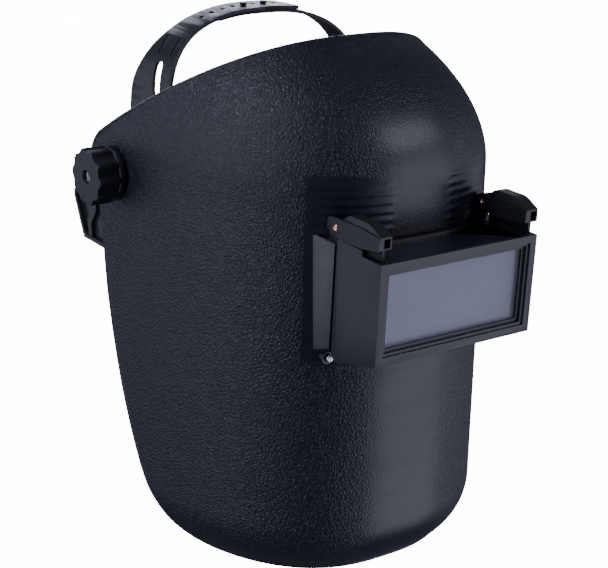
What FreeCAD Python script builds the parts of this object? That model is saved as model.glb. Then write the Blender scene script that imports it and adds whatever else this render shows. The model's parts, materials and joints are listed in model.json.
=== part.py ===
import FreeCAD, Part
import math
import os

# Welding helmet: moulded face shell with a lift-front window, tilting on a plastic headgear.
# Millimetres. The origin is the middle of the tilt axis, between the wearer's temples.
# The shell faces -Y, the crown is +Z and the tilt axis is X. Left means -X.

V = FreeCAD.Vector

# ---- driving dimensions: face shell ----
WALL = 2.5             # shell wall
FRONT_Y = -166.3       # front of the shell on the centre line, at the height of the tilt axis
LEAN = 0.028           # how far the front leans back per millimetre of height
SIDE_Y = 23.5          # depth at which the shell is widest
HALF_WIDTH = 114.5     # half width at the height of the tilt axis
NARROWING = 0.023      # half width lost per millimetre of height
BLUNTNESS = 2.61       # exponent of the section's oval
DOME_Z = 18.7          # the crown curves in above this height
DOME_RISE = 99.3
DOME_POWER = 1.966
CHIN_Z = -196.2        # the chin curves in below this height
CHIN_DROP = 47.5
CHIN_INSET = 53.1
BOTTOM_Z = -231.9
BEAD = 1.0             # how far the rolled edge stands out
BEAD_BAND = 3.6        # width of the rolled edge
# (y, z) of the open edge, from the crown down the cheek; the first and last points only set directions
RIM = [(-132, 124.6), (-112, 111.2), (9, 30.2), (24, 19), (30.5, 4), (27, -12), (15.5, -28), (2.5, -83.5),
       (-17.5, -139.5), (-40.5, -185.5), (-58, -208), (-72, -221.5), (-88, -229.5), (-106, BOTTOM_Z),
       (-126, BOTTOM_Z)]
RIB_LOW = -4.4         # shallow ribs above the window: height of the lowest one
RIB_PITCH = 5.4
RIB_COUNT = 6
RIB_HEIGHT = 0.3
RIB_INNER = 20.5       # the ribs run between these distances from the centre line
RIB_OUTER = 64.5

# ---- driving dimensions: window ----
WINDOW_Y = -204.5      # front face of the window frame
WINDOW_Z = -38.5       # height of the window's centre
FRAME_W = 120.0        # front frame, outside
FRAME_H = 62.0
PLATE_W = 108.0        # standard filter and cover plates
PLATE_H = 51.0
FILTER_T = 3.0
COVER_T = 1.5
VIEW_W = 102.0         # clear view through the frame
VIEW_H = 45.0
OPENING_W = 110.0      # cut-out in the shell
OPENING_H = 53.0
SKIN = 2.2             # wall of the window mouldings
SHELL_GAP = 0.6        # between the closed lift front and the shell
SEAM = 43.0            # from the window frame's front face back to the fixed base
BASE_W = 60.3          # half width of the base at the seam
BASE_LOW = -37.2
BASE_TOP = 31.2
SCREW = (57.5, -42.3)  # base screws, beside and below the window's centre
TOP_LOW = 25.9         # underside of the lens box's top plate
TOP_T = 2.3
LIFT_AXIS = (42.5, 40.6)   # lift hinge, back from and above the window's centre
ARM_X = -61.0          # outside of the left arm
ARM_STEP = 112.2       # the right arm stands this far to its right

# ---- driving dimensions: tilt pivots, measured outwards along X ----
STUD_R = 3.4
HUB_R = 7.0
RUNNING = 0.05         # radial clearance of a running fit
STUD_HEAD_X = 99.0
BRACKET_X = 102.0
DISC_X = 104.5
WASHER_X = 115.4
KNOB_X = 119.6
KNOB_FACE_X = 134.4
KNOB_R = 18.2
KNOB_LOBES = 10

# ---- driving dimensions: headgear ----
BAND_HALF_W = 79.5     # outside of the headband at the temples
BAND_T = 2.5
BAND_Y = 12.0          # where the forehead curve ends
BROW = 98.0            # depth of the forehead curve
LEG_END_Y = 66.0       # end of the front band's straight legs
NAPE_Y = 60.0          # where the nape curve starts
NAPE = 48.0            # depth of the nape curve
SLIDE_GAP = 0.4        # between the sliding legs
SLIDE_TRAVEL = 10.0    # size adjustment each way
PAD_T = 6.0
ARCH_Z = 35.0          # the crown strap arches above this height
ARCH_RISE = 62.0
ARCH_HALF_W = 81.8
ARCH_BLUNTNESS = 2.35  # exponent of the arch's oval
STRAP_T = 2.0
STRAP_UNDER = 2.6      # how much lower the right half of the strap passes
STRAP_FOOT_Z = 2.6
STRAP_RIVETS = ((12.0, 7.2), (24.0, 7.2))
GUIDE = (50.0, -2.0)   # guide buttons between the two halves of the headband


# ---- small building blocks ----
def block(x, y, z):
    """Box between pairs of limits."""
    return Part.makeBox(x[1] - x[0], y[1] - y[0], z[1] - z[0], V(x[0], y[0], z[0]))


def rod(radius, start, end):
    """Round bar between two points."""
    a, b = V(*start), V(*end)
    return Part.makeCylinder(radius, (b - a).Length, a, b - a)


def rounded_wire(corners, place):
    """Closed outline through (u, v, corner radius) points; place turns u, v into a point."""
    flat = [V(u, v, 0) for u, v, r in corners]
    edges, ends = [], []
    for i, (u, v, r) in enumerate(corners):
        here, before, after = flat[i], flat[i - 1], flat[(i + 1) % len(flat)]
        a, b = (before - here).normalize(), (after - here).normalize()
        if r == 0:
            ends.append((here, here))
            continue
        half = a.getAngle(b) / 2
        reach = r / math.tan(half)
        middle = here + (a + b).normalize() * (r / math.sin(half) - r)
        ends.append((here + a * reach, here + b * reach))
        arc = [ends[-1][0], middle, ends[-1][1]]
        edges.append(Part.Arc(*[place(p.x, p.y) for p in arc]).toShape())
    for i in range(len(ends)):
        start, end = ends[i - 1][1], ends[i][0]
        if (end - start).Length > 1e-6:
            edges.append(Part.LineSegment(place(start.x, start.y), place(end.x, end.y)).toShape())
    return Part.Wire(Part.__sortEdges__(edges))


def plate_x(corners, x):
    """Outline of (y, z, radius) corners, as a plate between two x limits."""
    face = Part.Face(rounded_wire(corners, lambda u, v: V(x[0], u, v)))
    return face.extrude(V(x[1] - x[0], 0, 0))


def plate_y(corners, y):
    """Outline of (x, z, radius) corners, as a plate between two y limits."""
    face = Part.Face(rounded_wire(corners, lambda u, v: V(u, y[0], v)))
    return face.extrude(V(0, y[1] - y[0], 0))


def plate_z(corners, z):
    """Outline of (x, y, radius) corners, as a plate between two z limits."""
    face = Part.Face(rounded_wire(corners, lambda u, v: V(u, v, z[0])))
    return face.extrude(V(0, 0, z[1] - z[0]))


def rounded_box(width, height, radius):
    """Corners of a centred rectangle."""
    return [(-width / 2, -height / 2, radius), (width / 2, -height / 2, radius),
            (width / 2, height / 2, radius), (-width / 2, height / 2, radius)]


def fused(shapes):
    whole = shapes[0]
    if len(shapes) > 1:
        whole = whole.fuse(shapes[1:])
    return whole.removeSplitter()


def at_window(shape):
    """Window pieces are drawn about the centre of the frame's front face."""
    return shape.translated(V(0, WINDOW_Y, WINDOW_Z))


# ---- face shell ----
def crown_scale(z, out):
    """How much a section has shrunk at height z on the crown."""
    t = max(0.0, z - DOME_Z) / (DOME_RISE + out)
    return (1 - t ** DOME_POWER) ** (1 / DOME_POWER)


def chin_inset(z):
    t = max(0.0, CHIN_Z - z) / CHIN_DROP
    return CHIN_INSET * (1 - math.sqrt(1 - t * t))


def shell_section(z, out):
    """Outline of the shell's outside at height z, moved outwards, closed behind the wearer."""
    scale = crown_scale(z, out)
    depth = (SIDE_Y - FRONT_Y - LEAN * z - chin_inset(z) + out) * scale
    half = (HALF_WIDTH - NARROWING * z - chin_inset(z) + out) * scale
    back = 60.0
    points = []
    for i in range(-12, 13):
        turn = math.radians(90 * i / 12)
        x = half * math.copysign(abs(math.sin(turn)) ** (2 / BLUNTNESS), turn)
        y = SIDE_Y - depth * abs(math.cos(turn)) ** (2 / BLUNTNESS)
        points.append(V(x, y, z))
    front = Part.BSplineCurve()
    front.interpolate(Points=points, Parameters=[float(i) for i in range(len(points))])
    corners = [points[-1], V(half, back, z), V(-half, back, z), points[0]]
    sides = [Part.LineSegment(a, b).toShape() for a, b in zip(corners, corners[1:])]
    return Part.Wire([front.toShape()] + sides)


def shell_form(out):
    """Solid inside the shell's outer surface, moved outwards."""
    heights = [-233, -225, -216, -206, -196.2, -180, -130, -65, 0, 18.7, 34, 48, 61, 72, 82, 91, 99]
    return Part.makeLoft([shell_section(z, out) for z in heights], True, False)


def rim_face(x, inset):
    """Side outline of the shell, moved inwards: straight crown edge, round rear corner, swept cheek edge."""
    edge = [V(x, y, z) for y, z in RIM]
    moved = []
    for before, here, after in zip(edge, edge[1:], edge[2:]):
        along = (after - before).normalize()
        moved.append(here + V(0, along.z, -along.y) * inset)
    crown, floor = moved[0], moved[-1]
    cheek = Part.BSplineCurve()
    cheek.interpolate(moved[1:])
    rest = [floor, V(x, -190, floor.z), V(x, -190, crown.z), crown, moved[1]]
    lines = [Part.LineSegment(a, b).toShape() for a, b in zip(rest, rest[1:])]
    return Part.Face(Part.Wire([cheek.toShape()] + lines))


def make_shell(outer):
    """Moulded shell with its rolled edge, window opening, pivot holes and ribs."""
    side = rim_face(-130.0, 0.0)
    inset = rim_face(-130.0, BEAD_BAND)
    reach = V(260, 0, 0)
    proud = shell_form(BEAD)
    body = outer.common(side.extrude(reach))
    bead = proud.common(side.extrude(reach)).cut(inset.extrude(reach))
    shell = body.fuse([bead]).cut(shell_form(-WALL))
    opening = at_window(plate_y(rounded_box(OPENING_W, OPENING_H, 4), (20, 70)))
    pivot_holes = rod(HUB_R + RUNNING, (-125, 0, 0), (125, 0, 0))
    screw_holes = [at_window(rod(1.4, (x, 40, SCREW[1]), (x, 60, SCREW[1]))) for x in (-SCREW[0], SCREW[0])]
    bosses = [at_window(rod(4.2, (x, 48, SCREW[1]), (x, 53.4, SCREW[1]))).common(outer)
              for x in (-SCREW[0], SCREW[0])]
    shell = fused([shell] + bosses + make_ribs()).cut([opening, pivot_holes] + screw_holes)
    return max(shell.Solids, key=lambda s: s.Volume)


def make_ribs():
    """Shallow raised ribs beside the smooth centre strip, above the window."""
    slabs = []
    for i in range(RIB_COUNT):
        z = RIB_LOW + i * RIB_PITCH
        for x in ((-RIB_OUTER, -RIB_INNER), (RIB_INNER, RIB_OUTER)):
            slabs.append(block(x, (-175, -100), (z, z + RIB_PITCH * 0.5)))
    skin = shell_form(RIB_HEIGHT).common(Part.makeCompound(slabs))
    return skin.cut(shell_form(-WALL / 2)).Solids


# ---- fixed window base, on the shell ----
def base_block(grow, back):
    """Flared block from the seam to the shell, with its walls moved by grow."""
    limits = [(BASE_W + grow, BASE_LOW - grow, BASE_TOP + grow)]
    limits.append((BASE_W + 0.42 * back + grow, BASE_LOW - 0.3 * back - grow, BASE_TOP + 0.22 * back + grow))
    ends = []
    for y, (wide, low, high) in zip((SEAM, SEAM + back), limits):
        corners = [(-wide, low, 3), (wide, low, 3), (wide, high, 1.5), (-wide, high, 1.5)]
        ends.append(rounded_wire(corners, lambda u, v, y=y: V(u, y, v)))
    return Part.makeLoft(ends, True, True)


def make_window_base():
    """Hood between the seam and the shell, with a plate frame in the shell's cut-out and hinge ears."""
    outside, over_ribs = shell_form(0.1), shell_form(RIB_HEIGHT + 0.1)
    hood = base_block(0, 26)
    hollow = base_block(-SKIN, 26).common(block((-90, 90), (SEAM + 3, SEAM + 40), (-70, 60)))
    body = at_window(hood.cut(hollow)).cut(outside)
    frame = plate_y(rounded_box(OPENING_W - 0.6, OPENING_H - 0.6, 4), (SEAM, SEAM + 3))
    view = plate_y(rounded_box(VIEW_W, VIEW_H, 2), (SEAM - 1, SEAM + 10))
    rivet = rod(2.05, (-70, *LIFT_AXIS), (70, *LIFT_AXIS))
    extras = [at_window(frame)]
    for side, left_x in ((-1, ARM_X + 2.1), (1, ARM_X + ARM_STEP + 2.1)):
        ear = plate_x([(SEAM + 0.6, 29.5, 0), (SEAM + 9, 29.5, 0), (49, 44.5, 4), (37.2, 46.8, 4.5),
                       (37.2, 36.8, 4), (42.8, 36.4, 0)], (left_x, left_x + 3.0))
        lug = plate_x([(46.4, -35, 0), (54, -35, 0), (54, -45, 1.5), (46.4, -45, 1.5)],
                      (side * SCREW[0] - 2.4, side * SCREW[0] + 2.4))
        screw = rod(1.25, (side * SCREW[0], 40, SCREW[1]), (side * SCREW[0], 60, SCREW[1]))
        extras += [at_window(ear.cut(rivet)).cut(over_ribs), at_window(lug.cut(screw)).cut(outside)]
    base = fused([body] + extras).cut(at_window(view))
    return max(base.Solids, key=lambda s: s.Volume)


def make_base_gasket():
    """Thin light seal on the base's plate frame, where the lift front closes."""
    ring = plate_y(rounded_box(OPENING_W - 0.8, OPENING_H - 0.8, 4), (SEAM - 1.0, SEAM))
    hole = plate_y(rounded_box(104, 48, 3), (SEAM - 2, SEAM + 1))
    return at_window(ring.cut(hole))


def make_inner_cover_plate():
    """Clear plate that still covers the eyes when the front is lifted."""
    return at_window(plate_y(rounded_box(PLATE_W, PLATE_H, 0.6), (SEAM + 3.0, SEAM + 3.0 + COVER_T)))


def make_inner_plate_clip():
    """Two bent spring strips that hook on the base's frame and press on the clear plate."""
    strips = []
    leaf, frame_back = 0.8, SEAM + 3.0
    for side in (-1, 1):
        for z in (-18.0, 18.0):
            reach = sorted((side * 50.8, side * 54.65))
            hook = sorted((side * 54.1, side * 54.65))
            pad = block(reach, (frame_back + COVER_T, frame_back + COVER_T + leaf), (z - 3, z + 3))
            leg = block(hook, (frame_back, frame_back + COVER_T + leaf), (z - 3, z + 3))
            strips.append(at_window(fused([pad, leg])))
    return Part.makeCompound(strips)


def make_base_screws():
    """Two small pan-head screws under the base's lower corners."""
    screws = []
    for x in (-SCREW[0], SCREW[0]):
        head = rod(2.4, (x, 44.2, SCREW[1]), (x, 46.4, SCREW[1]))
        head = head.makeFillet(0.9, [head.Edges[0], head.Edges[2]])
        slot = block((x - 0.4, x + 0.4), (44.0, 44.9), (SCREW[1] - 2.7, SCREW[1] + 2.8))
        screws.append(head.fuse(rod(1.25, (x, 46.3, SCREW[1]), (x, 57.2, SCREW[1]))).cut(slot))
    return Part.makeCompound([at_window(s.removeSplitter()) for s in screws])


def make_base_nuts():
    """Hexagon nuts on the base screws, inside the shell."""
    nuts = []
    turns = [math.radians(60 * k) for k in range(6)]
    for x in (-SCREW[0], SCREW[0]):
        corners = [(x + 2.9 * math.cos(turn), SCREW[1] + 2.9 * math.sin(turn), 0) for turn in turns]
        nuts.append(plate_y(corners, (53.5, 55.9)).cut(rod(1.25, (x, 50, SCREW[1]), (x, 60, SCREW[1]))))
    return Part.makeCompound([at_window(n) for n in nuts])


def hinge_rivet(left_x):
    """Domed rivet through the arm and the base's ear."""
    y, z = LIFT_AXIS
    dome = Part.makeSphere(3.4, V(left_x + 1.9, y, z))
    dome = dome.common(rod(2.8, (left_x - 3, y, z), (left_x, y, z)))
    shank = rod(2.0, (left_x - 0.1, y, z), (left_x + 8.2, y, z))
    tail = rod(2.7, (left_x + 7.4, y, z), (left_x + 8.6, y, z))
    return at_window(fused([dome, shank, tail]))


# ---- lift front ----
def lift_side(grow):
    """Side outline of the lens box, (y, z, radius), with its walls moved by grow."""
    return [(-1.0, -31 - grow, 0), (36.5, -41 - grow, 0), (41.4, -38.5 - grow, 0),
            (41.4, 34.7 + grow, 1.2), (17.6, 34.7 + grow, 0.8), (17.6, 31 + grow, 0.8), (-1.0, 31 + grow, 0)]


def make_lift_frame():
    """Open-backed lens box: stepped front frame, side walls, sloping floor and recessed top."""
    box = plate_x(lift_side(0), (-FRAME_W / 2, FRAME_W / 2))
    between_walls = (-FRAME_W / 2 + SKIN, FRAME_W / 2 - SKIN)
    inside = plate_x([(8, -28.6, 0), (36.4, -38.6, 0), (50, -38.6, 0), (50, TOP_LOW, 0), (8, TOP_LOW, 0)],
                     between_walls)
    over_top = block(between_walls, (4, 50), (TOP_LOW + TOP_T, 60))
    front_trim = block((-80, 80), (-5, 0), (-60, 60))
    step_1 = plate_y(rounded_box(FRAME_W - 10, FRAME_H - 9.5, 1), (-1, 1.4))
    step_2 = plate_y(rounded_box(FRAME_W - 14, FRAME_H - 13, 1), (-1, 3.2))
    view = plate_y(rounded_box(VIEW_W, VIEW_H, 0.6), (-1, 12))
    pocket = plate_y(rounded_box(PLATE_W + 0.6, PLATE_H + 0.6, 0.6), (4.2, 12))
    frame = box.cut([inside, over_top, front_trim, step_1, step_2, view, pocket])
    frame = at_window(fused([frame, lip_plan(), lip_bead()])).cut(shell_form(SHELL_GAP))
    return max(frame.Solids, key=lambda s: s.Volume)


def lip_curve(y_shift):
    """Rear edge of the top: an arc that follows the shell's front."""
    return Part.Arc(V(-50, 41.2 + y_shift, 0), V(0, 34.8 + y_shift, 0), V(50, 41.2 + y_shift, 0))


def lip_plan():
    """Top plate between the front frame and the shell."""
    curve = lip_curve(0).toShape()
    a, b = V(50, 41.2, 0), V(-50, 41.2, 0)
    corners = [a, V(57.8, 41.2, 0), V(57.8, 3, 0), V(-57.8, 3, 0), V(-57.8, 41.2, 0), b]
    lines = [Part.LineSegment(p, q).toShape() for p, q in zip(corners, corners[1:])]
    face = Part.Face(Part.Wire(Part.__sortEdges__([curve] + lines)))
    return face.extrude(V(0, 0, TOP_T)).translated(V(0, 0, TOP_LOW))


def lip_bead():
    """Raised bead along the rear edge of the top."""
    outer, inner = lip_curve(0), lip_curve(-2.0)
    ends = [Part.LineSegment(V(x, 39.2, 0), V(x, 41.2, 0)).toShape() for x in (-50, 50)]
    face = Part.Face(Part.Wire(Part.__sortEdges__([outer.toShape(), inner.toShape()] + ends)))
    return face.extrude(V(0, 0, TOP_T + 1.8)).translated(V(0, 0, TOP_LOW))


def lift_arm(left_x, tail):
    """Arm with a flat cheek plate, a hollow square front end and a domed spring housing."""
    axis_y, axis_z = LIFT_AXIS
    cheek = plate_x([(2.4, 38.4, 0.6), (2.4, 46.3, 0.6), (20.4, 47.8, 4)] + tail
                    + [(38.0, 35.2, 3), (18, 35.9, 0)], (left_x, left_x + 1.7))
    housing = plate_x([(2.4, 38.4, 0.6), (2.4, 46.3, 0.6), (13.0, 51.7, 18), (32.5, 51.4, 8),
                       (38.2, 46.5, 1.5), (34.4, 43, 1), (34.4, 37.2, 1), (20, 36.8, 0)],
                      (left_x + 1.6, left_x + 9.6))
    ear_room = rod(8.4, (left_x + 1.7, axis_y, axis_z), (left_x + 5.4, axis_y, axis_z))
    bore = block((left_x + 4.0, left_x + 8.5), (0, 30), (39.7, 45.2))
    inner_ear = plate_x([(30, 37.5, 1), (46.8, 37.5, 3), (46.8, 45.2, 3.5), (30, 48.5, 1)],
                        (left_x + 5.6, left_x + 7.3))
    web = plate_x([(4, TOP_LOW + TOP_T, 0), (30, TOP_LOW + TOP_T, 0), (34.2, 38, 0), (4, 38.9, 0)],
                  (left_x + 4.4, left_x + 6.4))
    pin_hole = rod(2.0 + RUNNING, (left_x - 1, *LIFT_AXIS), (left_x + 12, *LIFT_AXIS))
    arm = fused([cheek, housing.cut([bore, ear_room]), inner_ear, web]).cut(pin_hole)
    return max(at_window(arm).Solids, key=lambda s: s.Volume)


def make_lift_arm_left():
    """Left arm: its cheek plate reaches well behind the hinge."""
    return lift_arm(ARM_X, [(50.3, 46.8, 3), (50.4, 38, 1.5), (45, 37.6, 2)])


def make_lift_arm_right():
    """Right arm: the shell stands closer there, so its cheek plate ends round the hinge."""
    return lift_arm(ARM_X + ARM_STEP, [(36, 45.6, 6), (46.7, 44.8, 4.1), (46.7, 36.4, 4.1)])


def make_filter_plate():
    """Dark filter glass."""
    corners = rounded_box(PLATE_W, PLATE_H, 0.6)
    return at_window(plate_y(corners, (4.2 + COVER_T, 4.2 + COVER_T + FILTER_T)))


def make_front_cover_plate():
    """Clear cover plate in front of the filter."""
    return at_window(plate_y(rounded_box(PLATE_W, PLATE_H, 0.6), (4.2, 4.2 + COVER_T)))


def make_filter_gasket():
    """Light seal behind the filter."""
    y = (4.2 + COVER_T + FILTER_T, 4.2 + COVER_T + FILTER_T + 1.2)
    ring = plate_y(rounded_box(PLATE_W, PLATE_H, 0.6), y)
    return at_window(ring.cut(plate_y(rounded_box(VIEW_W - 2, VIEW_H - 2, 1), (0, 20))))


def make_filter_clip():
    """Bent spring sheet that presses the glass into the frame."""
    y = 4.2 + COVER_T + FILTER_T + 1.2
    ring = plate_y(rounded_box(PLATE_W + 4, PLATE_H - 1, 2), (y, y + 0.8))
    ring = ring.cut(plate_y(rounded_box(VIEW_W - 4, VIEW_H - 6, 1), (0, 20)))
    legs = [plate_y([(x - 2.6, z - 0.5, 0), (x + 2.6, z - 0.5, 0), (x + 2.6, z + 0.5, 0),
                     (x - 2.6, z + 0.5, 0)], (y, y + 9))
            for x in (-36, 36) for z in (-24.2, 24.2)]
    return at_window(fused([ring] + legs))


def make_hinge_springs():
    """Spring washers that hold the lifted front where it is put."""
    rings = []
    for shift in (0.0, ARM_STEP):
        x = ARM_X + 5.15 + shift
        ring = rod(3.6, (x, *LIFT_AXIS), (x + 0.4, *LIFT_AXIS))
        rings.append(at_window(ring.cut(rod(2.0, (x - 1, *LIFT_AXIS), (x + 1, *LIFT_AXIS)))))
    return Part.makeCompound(rings)


# ---- tilt pivots ----
def pivot_stud(side):
    """Stud with a round head, a square neck and a slotted end."""
    head = rod(9.0, (side * STUD_HEAD_X, 0, 0), (side * BRACKET_X, 0, 0))
    shank = rod(STUD_R, (side * BRACKET_X, 0, 0), (side * (KNOB_FACE_X - 1.8), 0, 0))
    neck = block(sorted((side * BRACKET_X, side * DISC_X)), (-4, 4), (-4, 4))
    slot = block(sorted((side * (KNOB_FACE_X - 3.0), side * KNOB_FACE_X)), (-0.5, 0.5), (-4, 4))
    return fused([head, shank, neck]).cut(slot)


def stop_disc(side):
    """Friction disc between the bracket and the shell, with tilt-stop notches."""
    disc = rod(11.5, (side * DISC_X, 0, 0), (side * (WASHER_X - 4.5), 0, 0))
    cuts = [rod(STUD_R, (side * 100, 0, 0), (side * 120, 0, 0))]
    for turn in (90, 210, 330):
        y, z = 12.2 * math.cos(math.radians(turn)), 12.2 * math.sin(math.radians(turn))
        cuts.append(rod(2.2, (side * 100, y, z), (side * 120, y, z)))
    return disc.cut(cuts)


def outer_washer(side):
    """Thick washer outside the shell; its hub is the bearing in the shell's hole."""
    flange = rod(17.5, (side * WASHER_X, 0, 0), (side * (KNOB_X - 0.2), 0, 0))
    rim = [e for e in flange.Edges if abs(e.BoundBox.Center.x) > WASHER_X + 3 and e.Length > 50]
    flange = flange.makeFillet(1.2, rim)
    hub = rod(HUB_R, (side * (WASHER_X - 4.5), 0, 0), (side * (WASHER_X + 1), 0, 0))
    return fused([flange, hub]).cut(rod(STUD_R, (side * 100, 0, 0), (side * 130, 0, 0)))


def tension_knob(side):
    """Ten-lobed knob with a recess over the stud's end."""
    body = rod(KNOB_R, (side * KNOB_X, 0, 0), (side * KNOB_FACE_X, 0, 0))
    body = body.makeChamfer(0.7, [e for e in body.Edges if e.Length > 50 and e.BoundBox.XLength < 1])
    scallops = []
    for k in range(KNOB_LOBES):
        turn = math.radians(360 / KNOB_LOBES * (k + 0.5))
        y, z = 23.2 * math.cos(turn), 23.2 * math.sin(turn)
        scallops.append(rod(7.0, (side * (KNOB_X - 1), y, z), (side * (KNOB_FACE_X + 1), y, z)))
    body = body.cut(scallops)
    recess = rod(4.4, (side * (KNOB_FACE_X - 3.4), 0, 0), (side * (KNOB_FACE_X + 1), 0, 0))
    seat = rod(6.0, (side * (KNOB_X - 1), 0, 0), (side * (KNOB_X + 11), 0, 0))
    bore = rod(STUD_R + RUNNING, (side * KNOB_X, 0, 0), (side * KNOB_FACE_X, 0, 0))
    return body.cut([recess, seat, bore])


def knob_insert(side):
    """Brass insert that turns on the stud."""
    insert = rod(6.0, (side * KNOB_X, 0, 0), (side * (KNOB_X + 11), 0, 0))
    return insert.cut(rod(STUD_R + RUNNING, (side * (KNOB_X - 1), 0, 0), (side * KNOB_FACE_X, 0, 0)))


# ---- headgear ----
BRACKET_OUTLINE = [(-13, 0, 11), (-13, -58.5, 5), (50.5, -58.5, 3), (64.5, -31.5, 6), (59, -17, 6),
                   (38, -3, 8), (14, 12, 10), (-10, 14, 9)]
BRACKET_RIVETS = ((17.0, -4.0), (42.0, -9.0))


def side_bracket(side):
    """Moulded channel plate from the pivot down to the cheek, with two posts to the headband."""
    plate = plate_x(BRACKET_OUTLINE, sorted((side * BRACKET_X, side * DISC_X)))
    border = plate_x(BRACKET_OUTLINE, sorted((side * DISC_X, side * (DISC_X + 3.2))))
    inner = [(-10.4, -14, 3), (-10.4, -55.6, 3), (48.6, -55.6, 2), (61.5, -31.2, 4), (56.6, -19, 4),
             (40, -14, 6)]
    border = border.cut(plate_x(inner, (-130, 130)))
    border = border.cut(rod(13.0, (-130, 0, 0), (130, 0, 0)))
    border = border.cut(block((-130, 130), (-20, 48), (-13.2, 30)))
    border = max(border.Solids, key=lambda s: s.Volume)
    rib_x = sorted((side * (DISC_X - 0.5), side * (DISC_X + 2.6)))
    rib = plate_x([(36, -22, 1), (41, -22, 1), (40.4, -36, 6), (47, -45, 3), (44, -56.4, 0), (40, -56.4, 0),
                   (41.5, -46, 4), (35.6, -37, 6)], rib_x)
    post_x = (side * BAND_HALF_W, side * (BRACKET_X + 0.5))
    posts = [rod(5.0, (post_x[0], y, z), (post_x[1], y, z)) for y, z in BRACKET_RIVETS]
    bracket = fused([plate, border, rib] + posts)
    bracket = bracket.cut([rod(2.0, (-130, y, z), (130, y, z)) for y, z in BRACKET_RIVETS])
    return bracket.cut(block((-130, 130), (-4, 4), (-4, 4)))


def make_bracket_rivets():
    """Flat-headed rivets from the brackets through the headband."""
    rivets = []
    for side in (-1, 1):
        for y, z in BRACKET_RIVETS:
            shank = rod(2.0, (side * (BAND_HALF_W - BAND_T), y, z), (side * DISC_X, y, z))
            head = rod(3.6, (side * DISC_X, y, z), (side * (DISC_X + 1.4), y, z))
            rivets.append(fused([shank, head]))
    return Part.makeCompound(rivets)


def u_band(half, depth, curve_y, end_y, z):
    """Closed plan of a U: half an oval ahead of or behind curve_y, with straight legs to end_y."""
    turn = 1 if end_y > curve_y else -1
    oval = Part.Ellipse(V(0, curve_y, z), half, depth) if half > depth else None
    if oval is None:
        oval = Part.Ellipse(V(0, curve_y + depth, z), V(half, curve_y, z), V(0, curve_y, z))
    cut_off = block((-200, 200), sorted((curve_y, curve_y - turn * 200)), (z - 1, z + 61))
    nose = Part.Face(Part.Wire(oval.toShape())).extrude(V(0, 0, 60)).common(cut_off)
    legs = block((-half, half), sorted((curve_y, end_y)), (z, z + 60))
    return nose.fuse(legs)


def banded(half, depth, curve_y, end_y, thick, side_outline):
    """Upright U-shaped band, trimmed to a side outline of (y, z, radius) corners."""
    low = -40.0
    outside = u_band(half, depth, curve_y, end_y, low)
    inside = u_band(half - thick, depth - thick, curve_y, end_y + (5 if end_y > curve_y else -5), low)
    return outside.cut(inside).common(plate_x(side_outline, (-100, 100))).removeSplitter()


def make_headband_front():
    """Forehead half of the headband."""
    band = banded(BAND_HALF_W, BROW, BAND_Y, LEG_END_Y, BAND_T,
                  [(-95, -4, 0), (-95, 30, 0), (-70, 28, 40), (-10, 12, 60), (LEG_END_Y, 10, 4),
                   (LEG_END_Y, -14, 4), (0, -15, 60)])
    holes = [rod(2.0, (-100, y, z), (100, y, z)) for y, z in BRACKET_RIVETS]
    holes += [rod(1.6, (-100, y, z), (100, y, z)) for y, z in STRAP_RIVETS]
    holes.append(rod(1.8, (-100, *GUIDE), (100, *GUIDE)))
    return band.cut(holes)


def make_rear_band():
    """Nape half of the headband; its slotted legs slide inside the front half's legs."""
    half = BAND_HALF_W - BAND_T - SLIDE_GAP
    band = banded(half, NAPE, NAPE_Y, 26.0, BAND_T,
                  [(26, -11, 5), (26, 7, 5), (62, 7, 30), (115, -2, 0), (115, -30, 0), (70, -14, 40)])
    near, far = GUIDE[0] - SLIDE_TRAVEL - 2.2, GUIDE[0] + SLIDE_TRAVEL + 2.2
    slot = [(near, -4.1, 2), (far, -4.1, 2), (far, 0.1, 2), (near, 0.1, 2)]
    slots = [plate_x(slot, x) for x in ((-85, -70), (70, 85))]
    vents = [plate_y([(x - 6, -17, 2.5), (x + 6, -17, 2.5), (x + 6, -11, 2.5), (x - 6, -11, 2.5)], (80, 130))
             for x in (-44, -15, 15, 44)]
    return band.cut(slots + vents)


def make_band_buttons():
    """Guide buttons: pressed through the front band, sliding in the rear band's slots."""
    buttons = []
    inner = BAND_HALF_W - 2 * BAND_T - SLIDE_GAP
    for side in (-1, 1):
        shank = rod(1.8, (side * (inner - 0.4), *GUIDE), (side * BAND_HALF_W, *GUIDE))
        head = rod(4.0, (side * BAND_HALF_W, *GUIDE), (side * (BAND_HALF_W + 1.6), *GUIDE))
        cap = rod(3.6, (side * (inner - 1.8), *GUIDE), (side * (inner - 0.3), *GUIDE))
        buttons.append(fused([shank, head, cap]))
    return Part.makeCompound(buttons)


def make_sweatband():
    """Soft strip inside the forehead."""
    return banded(BAND_HALF_W - BAND_T, BROW - BAND_T, BAND_Y, BAND_Y + 1, PAD_T,
                  [(-95, -3, 0), (-95, 29, 0), (-70, 27, 40), (-12, 13, 4), (-12, -13, 4)])


def make_nape_pad():
    """Soft strip inside the nape."""
    half = BAND_HALF_W - 2 * BAND_T - SLIDE_GAP
    return banded(half, NAPE - BAND_T, NAPE_Y, NAPE_Y - 1, PAD_T - 1,
                  [(84, 1, 4), (115, -4, 0), (115, -28, 0), (84, -18, 4)])


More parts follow.
